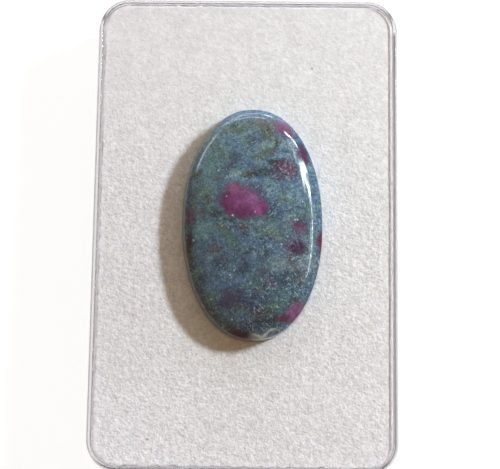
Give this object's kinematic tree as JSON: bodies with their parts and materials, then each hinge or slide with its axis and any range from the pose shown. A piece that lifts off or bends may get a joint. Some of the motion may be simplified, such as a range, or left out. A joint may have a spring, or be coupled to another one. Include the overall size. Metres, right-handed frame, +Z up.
{
  "type": "ruby in kyanite cabochon in an open gem box base",
  "caption": "Polished oval cabochon of ruby in kyanite, lying on a white foam pad in the open clear plastic base of a small gem box.",
  "frame": {"origin": "centre of the flat underside of the box base", "axes": "+X across the box, +Y along the box towards the stone's upper end as it is pictured, +Z up out of the open box"},
  "size_m": [0.0516, 0.0806, 0.0171],
  "materials": {
    "ruby_kyanite": "polished, blue-green kyanite with purplish red ruby patches",
    "white_foam": "fine-celled soft foam, matt",
    "clear_plastic": "clear, glossy"
  },
  "bodies": {
    "root": {"cabochon": "ruby_kyanite", "foam_pad": "white_foam", "box_base": "clear_plastic"}
  },
  "joints": []
}
